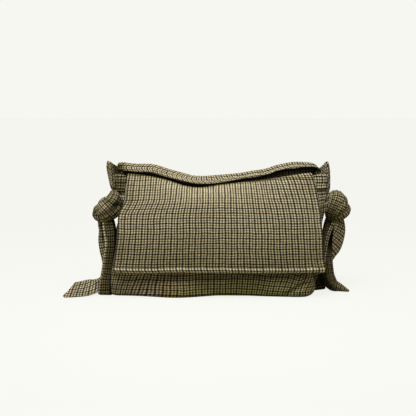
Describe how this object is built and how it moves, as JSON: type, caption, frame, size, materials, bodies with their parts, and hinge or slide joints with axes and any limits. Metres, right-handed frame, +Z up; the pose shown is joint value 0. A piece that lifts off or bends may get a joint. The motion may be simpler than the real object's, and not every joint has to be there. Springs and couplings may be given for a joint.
{
  "type": "knot bag",
  "caption": "Soft wool flap bag with a strap lying over its top, pleated ears at the gussets and a fabric knot with hanging tails at each side.",
  "frame": {"origin": "middle of the base panel's underside, on the surface that the bag stands on", "axes": "+X to the right across the bag as seen from its front, -Y out of the front, +Z up"},
  "size_m": [0.4038, 0.0973, 0.1827],
  "materials": {
    "wool": "brushed woven wool with a small two-colour check",
    "lining": "plain woven lining",
    "board": "matte",
    "snap": "satin"
  },
  "bodies": {
    "bag": {"front_panel": "wool", "back_panel": "wool", "base_panel": "wool", "left_gusset": "wool", "right_gusset": "wool", "front_lining": "lining", "back_lining": "lining", "base_lining": "lining", "left_lining": "lining", "right_lining": "lining", "base_board": "board", "flap_seam_strip": "wool", "left_strap_tab": "wool", "right_strap_tab": "wool", "front_magnet": "snap", "left_knot": "wool", "right_knot": "wool", "left_front_tie": "wool", "left_rear_tie": "wool", "right_front_tie": "wool", "right_rear_tie": "wool"},
    "flap": {"flap_outer": "wool", "flap_lining": "lining", "flap_magnet": "snap"},
    "strap": {"strap": "wool"},
    "left_front_tail": {"left_front_tail": "wool"},
    "left_rear_tail": {"left_rear_tail": "wool"},
    "right_front_tail": {"right_front_tail": "wool"},
    "right_rear_tail": {"right_rear_tail": "wool"}
  },
  "joints": [
    {"name": "flap_hinge", "type": "hinge", "parent": "bag", "child": "flap", "pos_m": [0, 0.02667, 0.163], "axis": [-1, 0, 0], "range_deg": [0, 115]},
    {"name": "strap_lift", "type": "hinge", "parent": "flap", "child": "strap", "pos_m": [0, 0.02667, 0.163], "axis": [-1, 0, 0], "range_deg": [0, 70]},
    {"name": "left_front_tail_swing", "type": "hinge", "parent": "bag", "child": "left_front_tail", "pos_m": [-0.16105, -0.02967, 0.10409], "axis": [-1, 0, 0], "range_deg": [0, 60]},
    {"name": "left_rear_tail_swing", "type": "hinge", "parent": "bag", "child": "left_rear_tail", "pos_m": [-0.16886, -0.00971, 0.10359], "axis": [0, 1, 0], "range_deg": [0, 60]},
    {"name": "right_front_tail_swing", "type": "hinge", "parent": "bag", "child": "right_front_tail", "pos_m": [0.16838, -0.01446, 0.10124], "axis": [0, -1, 0], "range_deg": [0, 60]},
    {"name": "right_rear_tail_swing", "type": "hinge", "parent": "bag", "child": "right_rear_tail", "pos_m": [0.16003, 0.00629, 0.1023], "axis": [0, -1, 0], "range_deg": [0, 60]}
  ]
}
